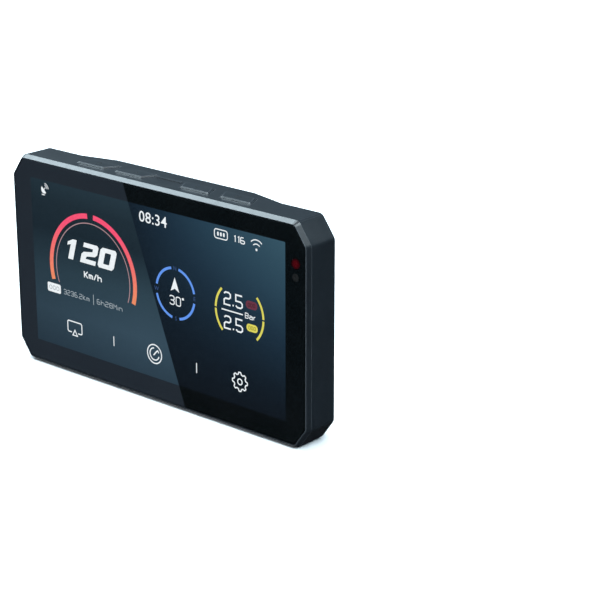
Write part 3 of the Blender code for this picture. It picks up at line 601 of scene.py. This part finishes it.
def speed_figures(layer):
    """Heavy leaning figures of the speed readout, 120."""
    at_one, at_two, at_nought = ((left, SPEED_FOOT) for left in SPEED_LEFT)
    one = [(0.0, 0.0), (2.9, 0.0), (2.9, 8.7), (0.7, 8.7), (-1.9, 7.3), (-1.9, 5.8), (0.0, 6.4)]
    layer.slab(slanted(one, at_one))
    two = [(0.0, 0.0), (8.8, 0.0), (8.8, 1.9), (2.9, 1.9), (2.9, 2.7), (3.4, 3.1), (7.8, 3.7)]
    two += [(8.8, 4.7), (8.8, 7.8), (7.9, 8.7), (0.2, 8.7), (0.2, 6.8), (5.9, 6.8), (5.9, 5.5)]
    two += [(1.0, 4.7), (0.0, 3.7)]
    layer.slab(slanted(two, at_two))
    outer = [(8.2, 0.0), (9.2, 1.0), (9.2, 7.7), (8.2, 8.7), (1.0, 8.7), (0.0, 7.7), (0.0, 1.0)]
    outer += [(1.0, 0.0)]
    inner = [(6.0, 1.9), (6.3, 2.2), (6.3, 6.5), (6.0, 6.8), (3.2, 6.8), (2.9, 6.5), (2.9, 2.2)]
    inner += [(3.2, 1.9)]
    layer.ring(slanted(outer, at_nought), slanted(inner, at_nought))


def white_marks():
    """Everything on the screen that is white: figures, units and the plain signs."""
    layer = Layer("screen_white_marks", lit("screen_white", (0.85, 0.9, 0.93)), 1)
    speed_figures(layer)
    layer.words("08:34", (1.3, 31.3), 4.4, 15.0, 0.004, 1.04)
    for readout in READOUTS:
        layer.figures(*readout)
    layer.stroke([(36.9, 3.0), (47.8, 3.0)], 0.5)
    layer.slab(rounded_box(TRIP_LABEL_AT, (7.9, 3.9), 0.7))
    compass_arrow(layer)
    satellite_icon(layer)
    wireless_icon(layer)
    recorder_icon(layer)
    monitor_icon(layer)
    gauge_icon(layer)
    gear_icon(layer)
    for x in MENU_LINES_X:
        layer.stroke([(x, -22.4), (x, -26.5)], 0.42)
    layer.finish()


def pale_marks():
    """Trip distance and time in grey, and three blank boxes on the trip label."""
    layer = Layer("screen_pale_marks", lit("screen_pale", (0.36, 0.42, 0.46)), 1)
    layer.figures("3236.2km", (-43.8, -9.6), 2.0, 15.0, 0.26)
    layer.figures("6h28Min", (-24.5, -9.6), 2.0, 14.4, 0.26)
    layer.stroke([(-33.8, -7.2), (-33.8, -11.5)], 0.3)
    layer.finish()
    layer = Layer("screen_label_marks", lit("screen_label", (0.30, 0.34, 0.37)), 2)
    for offset in (-2.1, 0.0, 2.1):
        box = rounded_box((TRIP_LABEL_AT[0] + offset, TRIP_LABEL_AT[1]), (1.4, 1.5), 0.4, 3)
        layer.stroke(box, 0.22, True)
    layer.finish()


def compass_arrow(layer):
    """Arrow head in two halves above the heading."""
    x, z = COMPASS_AT[0] - 0.2, COMPASS_AT[1] + 3.6
    layer.slab([(x, z + 2.9), (x - 2.3, z - 2.9), (x, z - 1.7)])
    layer.slab([(x, z + 2.9), (x, z - 1.7), (x + 2.3, z - 2.9)])


def satellite_icon(layer):
    """Dish on a stand with two short waves."""
    x, z = SATELLITE_AT
    layer.slab(arc((x - 0.1, z - 0.2), 1.7, 135, 315, 14))
    layer.stroke([(x - 0.6, z - 0.6), (x + 0.8, z + 0.8)], 0.35)
    layer.stroke(arc((x + 0.2, z + 0.2), 1.5, 5, 85, 6), 0.32)
    layer.stroke(arc((x + 0.2, z + 0.2), 2.3, 5, 85, 8), 0.32)
    layer.stroke([(x - 1.6, z - 2.4), (x + 0.2, z - 2.4)], 0.4)


def wireless_icon(layer):
    """Two waves over a dot."""
    for radius in (2.2, 3.8):
        layer.stroke(arc(WIRELESS_FOOT, radius, 45, 135, 12), 0.42)
    layer.slab(arc(WIRELESS_FOOT, 0.5, 0, 330, 11))


def recorder_icon(layer):
    """Rounded frame with three blank blocks."""
    x, z = RECORDER_AT
    layer.stroke(rounded_box(RECORDER_AT, (6.6, 3.5), 1.0), 0.42, True)
    for offset in (-1.5, 0.0, 1.5):
        layer.slab(rounded_box((x + offset, z), (0.85, 1.5), 0.3, 3))


def monitor_icon(layer):
    """Screen outline, open at the foot, over a small triangle."""
    x, z = MONITOR_AT
    outline = [(x - 1.9, z - 2.0), (x - 3.7, z - 2.0), (x - 4.2, z - 1.5), (x - 4.2, z + 2.2)]
    outline += [(x - 3.7, z + 2.7), (x + 3.7, z + 2.7), (x + 4.2, z + 2.2), (x + 4.2, z - 1.5)]
    layer.stroke(outline + [(x + 3.7, z - 2.0), (x + 1.9, z - 2.0)], 0.5)
    layer.stroke([(x, z - 0.9), (x - 1.4, z - 3.2), (x + 1.4, z - 3.2)], 0.45, True)


def gauge_icon(layer):
    """Ring, broken inner ring and a needle."""
    x, z = GAUGE_AT
    layer.stroke(arc(GAUGE_AT, 3.9, 0, 352.5, 47), 0.5, True)
    layer.stroke(arc(GAUGE_AT, 2.5, 95, 345, 24), 0.5)
    layer.stroke(arc(GAUGE_AT, 2.5, 20, 50, 4), 0.5)
    layer.stroke([(x - 0.5, z - 0.5), (x + 1.5, z + 1.6)], 0.55)


def gear_icon(layer):
    """Gear wheel with blunt teeth and a hole."""
    x, z = GEAR_AT
    teeth, steps = 8, 96
    points = []
    for step in range(steps):
        angle = math.radians(step * 360 / steps)
        tooth = max(-0.8, min(0.8, 1.5 * math.cos(teeth * angle)))
        radius = 3.45 + 0.5 * tooth
        points.append((x + radius * math.cos(angle), z + radius * math.sin(angle)))
    layer.stroke(points, 0.5, True)
    layer.stroke(arc(GEAR_AT, 1.15, 0, 345, 23), 0.5, True)


def speed_arcs():
    """Wide band in two arcs, orange at the foot and pink at the top, over a thin line."""
    pink, orange = (0.93, 0.075, 0.17), (0.86, 0.27, 0.115)
    layer = Layer("screen_speed_band", lit("screen_warm", orange, (pink, -7.0, 20.0)), 1)
    layer.stroke(arc(SPEED_AT, 24.2, 196, 94.5, 44), 2.1)
    layer.stroke(arc(SPEED_AT, 24.2, 86.5, -17.5, 44), 2.1)
    layer.finish()
    layer = Layer("screen_speed_line", lit("screen_line", (0.42, 0.25, 0.27)), 1)
    layer.stroke(arc(SPEED_AT, 21.3, 200, -20, 72), 0.4)
    layer.finish()


def compass_ring():
    """Four blue arcs with a dark letter in each gap."""
    layer = Layer("screen_compass_ring", lit("screen_blue", (0.115, 0.30, 0.86)), 1)
    for quarter in range(4):
        start = quarter * 90 + 11
        layer.stroke(arc(COMPASS_AT, COMPASS_RADIUS, start, start + 68, 16), 1.05)
    layer.finish()
    layer = Layer("screen_compass_points", lit("screen_navy", (0.03, 0.07, 0.20)), 1)
    for letter, degrees in zip("ENWS", (0, 90, 180, 270)):
        angle = math.radians(degrees)
        x = COMPASS_AT[0] + COMPASS_RADIUS * math.cos(angle)
        z = COMPASS_AT[1] + COMPASS_RADIUS * math.sin(angle)
        layer.words(letter, (x, z), 1.6)
    layer.finish()


def tyre_marks():
    """Yellow brackets round the two pressures, and a blank label beside each."""
    layer = Layer("screen_tyre_arcs", lit("screen_yellow", (0.72, 0.66, 0.10)), 1)
    for start, end in ((137, 178.5), (181.5, 224), (43, 1.5), (-1.5, -44)):
        layer.stroke(arc(TYRES_AT, TYRE_RADIUS, start, end, 12), 0.95)
    layer.slab(rounded_box(TYRE_GOOD_AT, (5.6, 3.0), 1.4))
    layer.finish()
    layer = Layer("screen_tyre_low", lit("screen_dark_red", (0.13, 0.022, 0.045)), 1)
    layer.slab(rounded_box(TYRE_LOW_AT, (5.8, 3.2), 1.5))
    layer.finish()
    for name, tint, centre in (("screen_tyre_marks", (0.30, 0.27, 0.02), TYRE_GOOD_AT),
                               ("screen_tyre_low_marks", (0.05, 0.008, 0.015), TYRE_LOW_AT)):
        layer = Layer(name, lit(f"{name}_tint", tint), 2)
        for offset in (-1.3, 0.0, 1.3):
            box = rounded_box((centre[0] + offset, centre[1]), (0.8, 1.3), 0.2, 2)
            layer.stroke(box, 0.25, True)
        layer.finish()


def light_window():
    """Dim window for the ambient light sensor, under the red lens."""
    below_lens, radius = 5.2, 1.5
    low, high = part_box("sensor_lens")
    x = ((low.x + high.x) / 2 - GLASS_X) / MM
    z = ((low.z + high.z) / 2 - GLASS_Z) / MM - below_lens
    tint = lit("light_window_tint", (0.0005, 0.0009, 0.0009))
    layer = Layer("light_window", tint, 0, "black_glass")
    layer.slab(arc((x, z), radius, 0, 345, 23))
    layer.finish()


def screen():
    """All that is printed or lit on the glass."""
    screen_background()
    white_marks()
    pale_marks()
    speed_arcs()
    compass_ring()
    tyre_marks()
    light_window()


# ---- case details -----------------------------------------------------------------
def printed_mark(name, strokes, origin, body):
    """Small pad-printed sign on the top of a key: strokes in mm, X across, Y deep."""
    work = bmesh.new()
    width, height = 0.28, 0.03 * MM
    for points in strokes:
        for first, second in zip(points, points[1:]):
            a, b = Vector(first), Vector(second)
            along = (b - a).normalized() * width * 0.35
            aside = Vector((-along.y, along.x)).normalized() * width / 2
            corners = [a - along + aside, b + along + aside, b + along - aside, a - along - aside]
            low = [work.verts.new(origin + Vector((c.x * MM, c.y * MM, 0.0))) for c in corners]
            high = [work.verts.new(v.co + Vector((0.0, 0.0, height))) for v in low]
            work.faces.new(high)
            work.faces.new(low[::-1])
            for index in range(4):
                after = (index + 1) % 4
                work.faces.new((low[index], low[after], high[after], high[index]))
    bmesh.ops.recalc_face_normals(work, faces=work.faces)
    mesh = bpy.data.meshes.new(name)
    work.to_mesh(mesh)
    work.free()
    mesh.materials.append(MATERIALS["mark_paint"])
    place_piece(name, mesh, body)


def key_signs():
    """Generic signs: an open ring with a bar, two arrow heads and a box."""
    ring_radius = 1.1
    turns = [math.radians(30 * step) for step in range(-1, 9)]
    ring = [(ring_radius * math.cos(turn), ring_radius * math.sin(turn)) for turn in turns]
    signs = [
        [ring, [(0.0, 0.4), (0.0, 1.5)]],
        [[(-1.0, -0.5), (0.0, 0.6), (1.0, -0.5)]],
        [[(-1.0, 0.5), (0.0, -0.6), (1.0, 0.5)]],
        [[(-1.1, -0.8), (1.1, -0.8), (1.1, 0.8), (-1.1, 0.8), (-1.1, -0.8)]],
    ]
    for number, strokes in enumerate(signs, 1):
        low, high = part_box(f"button_{number}")
        origin = Vector(((low.x + high.x) / 2, (low.y + high.y) / 2, high.z))
        printed_mark(f"key_sign_{number}", strokes, origin, f"button_{number}")


# Real edge radii of the large solids, in metres.
EDGE_RADII = {"front_frame": 0.00030, "rear_cover": 0.00025, "mount_plate": 0.00025,
              "ball_base": 0.00025}


def soften_edges():
    """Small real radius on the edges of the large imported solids."""
    for name, width in EDGE_RADII.items():
        step = frame["nodes"][name].modifiers.new("edge_radius", "BEVEL")
        step.width = width
        step.segments = 2
        step.limit_method = "ANGLE"
        step.angle_limit = math.radians(32.0)
        step.use_clamp_overlap = True
        step.harden_normals = True


def smooth_by_angle():
    """Modifier node group: round faces shade smooth, edges over 30 degrees stay sharp."""
    group = bpy.data.node_groups.new("smooth_by_angle", "GeometryNodeTree")
    group.interface.new_socket("Geometry", in_out="INPUT", socket_type="NodeSocketGeometry")
    group.interface.new_socket("Geometry", in_out="OUTPUT", socket_type="NodeSocketGeometry")
    nodes, links = group.nodes, group.links
    start = nodes.new("NodeGroupInput").outputs[0]
    plain = nodes.new("GeometryNodeRemoveAttribute")
    plain.inputs["Name"].default_value = "custom_normal"
    faces = nodes.new("GeometryNodeSetShadeSmooth")
    edges = nodes.new("GeometryNodeSetShadeSmooth")
    edges.domain = "EDGE"
    angle = nodes.new("GeometryNodeInputMeshEdgeAngle")
    shallow = nodes.new("FunctionNodeCompare")
    shallow.operation = "LESS_THAN"
    shallow.inputs[1].default_value = math.radians(30.0)
    finish = nodes.new("NodeGroupOutput").inputs[0]
    links.new(start, plain.inputs["Geometry"])
    links.new(plain.outputs[0], faces.inputs["Geometry"])
    links.new(faces.outputs[0], edges.inputs["Geometry"])
    links.new(angle.outputs["Unsigned Angle"], shallow.inputs[0])
    links.new(shallow.outputs[0], edges.inputs["Shade Smooth"])
    links.new(edges.outputs[0], finish)
    return group


def smooth_nodes():
    """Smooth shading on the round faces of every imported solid."""
    group = smooth_by_angle()
    for item in frame["nodes"].values():
        item.modifiers.new("smooth_by_angle", "NODES").node_group = group


def turned(name, profile, centre, paints, body, steps, paint_of=None):
    """Solid of revolution about Y; profile points are (radius, distance back), pole to pole.

    paint_of gives the number of the paint for a face that starts at a radius.
    """
    work = bmesh.new()
    rings = []
    for radius, back in profile:
        if radius == 0.0:
            rings.append([work.verts.new((centre.x, centre.y + back, centre.z))])
            continue
        rings.append([work.verts.new((centre.x + radius * math.cos(turn), centre.y + back,
                                      centre.z + radius * math.sin(turn)))
                      for turn in (math.tau * step / steps for step in range(steps))])
    for index, (near, far) in enumerate(zip(rings, rings[1:])):
        made = []
        for step in range(steps):
            after = (step + 1) % steps
            if len(near) == 1:
                made.append(work.faces.new((near[0], far[step], far[after])))
            elif len(far) == 1:
                made.append(work.faces.new((near[after], near[step], far[0])))
            else:
                made.append(work.faces.new((near[after], near[step], far[step], far[after])))
        for face in made:
            face.smooth = True
            face.material_index = paint_of(profile[index][0]) if paint_of else 0
    bmesh.ops.recalc_face_normals(work, faces=work.faces)
    mesh = bpy.data.meshes.new(name)
    work.to_mesh(mesh)
    work.free()
    for paint in paints:
        mesh.materials.append(MATERIALS[paint])
    mesh.set_sharp_from_angle(angle=math.radians(35.0))
    return place_piece(name, mesh, body)


def ball_and_neck():
    """Dark steel ball on a waisted neck with a round flange."""
    low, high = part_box("ball_stud")
    radius = (high.x - low.x) / 2
    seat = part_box("ball_base")[1].y + 0.0003
    centre = Vector(((low.x + high.x) / 2, seat, (low.z + high.z) / 2))
    middle = high.y - radius - seat
    neck, flange, flange_rim, spigot = 0.0062, 0.0090, 0.0006, 0.0045
    ball_steps, neck_steps = 40, 14
    straight = 0.35           # part of the neck before it flares into the flange
    waist = math.asin(neck / radius)
    profile = [(0.0, middle + radius)]
    for step in range(1, ball_steps + 1):
        turn = (math.pi - waist) * step / ball_steps
        profile.append((radius * math.sin(turn), middle + radius * math.cos(turn)))
    foot, top = 0.0014, profile[-1][1]
    for step in range(1, neck_steps + 1):
        part = step / neck_steps
        flare = max(0.0, (part - straight) / (1.0 - straight)) ** 2.6
        profile.append((neck + (flange - flange_rim - neck) * flare, top + (foot - top) * part))
    profile += [(flange - 0.0002, foot - 0.0002), (flange, foot - 0.0005), (flange, 0.0001)]
    profile += [(flange - 0.0001, 0.0), (spigot, 0.0), (spigot, low.y - seat)]
    profile += [(0.0, low.y - seat)]
    piece = turned("ball_and_neck", profile, centre, ["ball_steel"], MOUNT, 96)
    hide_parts("ball_stud")


def dish_or_rim(reach):
    """Paint number on a cup bolt: 1, dark, in the socket and the dish, else 0, bright."""
    return 1 if reach < 0.00065 or 0.0018 < reach < 0.0040 else 0


def cup_bolts():
    """Bright cup-headed bolts: rolled rim, dark dished floor, bright button in the middle."""
    head = 0.0014
    for number in range(1, 5):
        low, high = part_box(f"mount_bolt_{number}")
        centre = Vector(((low.x + high.x) / 2, high.y - head, (low.z + high.z) / 2))
        radius = (high.x - low.x) / 2
        profile = [(0.0, 0.0004), (0.0007, 0.0004), (0.0009, 0.0010), (0.0014, 0.00105),
                   (0.0017, 0.0009), (0.0019, 0.0005), (0.0022, 0.00035), (0.0032, 0.0004),
                   (0.0038, 0.0007), (0.0041, 0.0011), (0.0043, 0.0013), (0.0046, head),
                   (0.0048, 0.00134), (0.00495, 0.00115), (radius, 0.0009), (radius, 0.0001),
                   (radius - 0.0001, 0.0), (0.0025, 0.0), (0.0025, low.y - centre.y + 0.0003),
                   (0.0022, low.y - centre.y), (0.0, low.y - centre.y)]
        piece = turned(f"cup_bolt_{number}", profile, centre, ["bright_steel", "dish_steel"],
                       CASE, 64, dish_or_rim)
        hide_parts(f"mount_bolt_{number}")


MATERIALS = {}


def make_materials():
    """One finished material for each surface, by name."""
    MATERIALS.update({
        "case_paint": case_paint("case_paint", (0.0055, 0.0078, 0.0105), 0.33, 0.40),
        "key_paint": case_paint("key_paint", (0.0060, 0.0085, 0.0115), 0.31, 0.48),
        "cover_paint": case_paint("cover_paint", (0.0065, 0.0095, 0.0125), 0.33, 0.50),
        "mark_paint": case_paint("mark_paint", (0.0022, 0.0028, 0.0035), 0.6, 0.2),
        "black_glass": black_glass(),
        "red_lens": red_lens(),
        "woven_fibre": carbon_weave(),
        "red_rubber": moulded("red_rubber", (0.52, 0.006, 0.012), 0.3, 1.25),
        "black_rubber": moulded("black_rubber", (0.008, 0.0085, 0.009), 0.75),
        "bright_steel": metal("bright_steel", (0.66, 0.69, 0.72), 0.18, 0.2,
                              (400.0, 400.0, 9000.0)),
        "dark_steel": metal("dark_steel", (0.040, 0.046, 0.052), 0.34),
        "dish_steel": metal("dish_steel", (0.018, 0.021, 0.024), 0.4, 0.1),
        "screw_steel": metal("screw_steel", (0.07, 0.08, 0.09), 0.3),
        "ball_steel": metal("ball_steel", (0.040, 0.047, 0.054), 0.34, 0.1),
        "black_plastic": moulded("black_plastic", (0.014, 0.015, 0.016), 0.45),
        "gold_contact": metal("gold_contact", (0.75, 0.52, 0.18), 0.25),
        "bare_aluminium": metal("bare_aluminium", (0.55, 0.56, 0.58), 0.35),
        "board_green": moulded("board_green", (0.01, 0.09, 0.04), 0.4),
        "ceramic_tan": moulded("ceramic_tan", (0.5, 0.4, 0.28), 0.6, 1.2),
        "foil_blue": moulded("foil_blue", (0.04, 0.1, 0.32), 0.3),
    })


# Solids that don't take the material named after their slot, by the start of their name.
SPECIAL = {
    "rear_cover": "cover_paint", "ball_stud": "ball_steel", "base_screw_": "screw_steel",
    "cover_screw_": "screw_steel", "display_panel": "black_glass", "button_1": "key_paint",
    "button_2": "key_paint", "button_3": "key_paint", "button_4": "key_paint",
}


def dress_nodes():
    """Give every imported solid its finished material, in most cases the one of its slot."""
    slots = {part["node"]: part["material_slot"] for part in frame["record"]["subparts"]}
    for name, item in frame["nodes"].items():
        chosen = slots[name]
        for start, special in SPECIAL.items():
            if name.startswith(start):
                chosen = special
        item.data.materials.clear()
        item.data.materials.append(MATERIALS[chosen])


# ---- studio -----------------------------------------------------------------------
def floor():
    """Pale floor just below the case, left out of mirror-like reflections."""
    gap = 0.0002
    bpy.ops.mesh.primitive_plane_add(size=8.0, location=(0.0, 0.0, cad_box[0].z - gap))
    item = bpy.context.object
    item.name = "studio_floor"
    item.visible_glossy = False
    item.data.materials.append(floor_paint())


# Soft lights: name, place, width and height in metres, watts and colour.
SOFTBOXES = [
    ("top_left_box", (-0.52, 0.06, 0.70), (0.5, 0.6), 11.0, (0.76, 0.92, 1.0)),
    ("corner_box", (0.62, -0.27, 1.0), (0.36, 0.36), 8.0, (0.80, 0.94, 1.0)),
    ("front_fill", (0.25, -1.2, 0.7), (0.7, 0.5), 4.0, (0.95, 0.98, 1.0)),
    ("rear_box", (0.76, 0.32, 0.74), (0.30, 0.30), 6.0, (0.76, 0.92, 1.0)),
]


def softbox(name, place, size, power, colour):
    """Rectangular light that faces the middle of the display."""
    aim = Vector((0.0, 0.0, 0.045))
    light = bpy.data.lights.new(name, "AREA")
    light.shape = "RECTANGLE"
    light.size, light.size_y = size
    light.energy = power
    light.color = colour
    item = bpy.data.objects.new(name, light)
    item.location = place
    item.rotation_euler = (aim - Vector(place)).to_track_quat("-Z", "Y").to_euler()
    bpy.context.scene.collection.objects.link(item)


def sky():
    """Dim sky, darker below, that the camera itself sees as a pale backdrop."""
    world = bpy.data.worlds.new("studio")
    bpy.context.scene.world = world
    world.use_nodes = True
    nodes, links = world.node_tree.nodes, world.node_tree.links
    place = nodes.new("ShaderNodeTexCoord")
    split = nodes.new("ShaderNodeSeparateXYZ")
    links.new(place.outputs["Generated"], split.inputs[0])
    shade = nodes.new("ShaderNodeValToRGB")
    links.new(split.outputs["Z"], shade.inputs["Fac"])
    shade.color_ramp.elements[0].color = (0.02, 0.022, 0.025, 1.0)
    shade.color_ramp.elements[1].color = (0.34, 0.50, 0.62, 1.0)
    sight = nodes.new("ShaderNodeLightPath")
    pick = nodes.new("ShaderNodeMix")
    pick.data_type = "RGBA"
    links.new(sight.outputs["Is Camera Ray"], pick.inputs["Factor"])
    links.new(shade.outputs["Color"], pick.inputs[6])
    pick.inputs[7].default_value = (0.9, 0.92, 0.94, 1.0)
    links.new(pick.outputs[2], nodes["Background"].inputs["Color"])


def lights():
    """Four softboxes and a very wide, weak light straight down."""
    for box in SOFTBOXES:
        softbox(*box)
    sun = bpy.data.lights.new("overhead_wash", "SUN")
    sun.energy = 1.6
    sun.angle = math.radians(70.0)
    wash = bpy.data.objects.new("overhead_wash", sun)
    bpy.context.scene.collection.objects.link(wash)


def camera():
    """Three-quarter view of the glass side, from the rider's right and above."""
    azimuth, elevation = math.radians(40.716), math.radians(18.957)
    focal, distance = 112.7, 0.7343
    aim_right, aim_down, plane_depth = 0.0564, 0.0022, 0.0018
    back = Vector((math.sin(azimuth) * math.cos(elevation),
                   -math.cos(azimuth) * math.cos(elevation), math.sin(elevation)))
    right = Vector((math.cos(azimuth), math.sin(azimuth), 0.0))
    up = back.cross(right)
    aim = Vector((GLASS_X, GLASS_Y + plane_depth, GLASS_Z)) + right * aim_right - up * aim_down
    data = bpy.data.cameras.new("view_camera")
    data.lens = focal
    data.sensor_width = 36.0
    item = bpy.data.objects.new("view_camera", data)
    turn = Matrix((right, up, back)).transposed().to_4x4()
    item.matrix_world = Matrix.Translation(aim + back * distance) @ turn
    bpy.context.scene.collection.objects.link(item)
    bpy.context.scene.camera = item


make_materials()
dress_nodes()
smooth_nodes()
ball_and_neck()
cup_bolts()
soften_edges()
screen()
key_signs()
floor()
sky()
lights()
camera()
bpy.context.scene.view_settings.view_transform = "Standard"
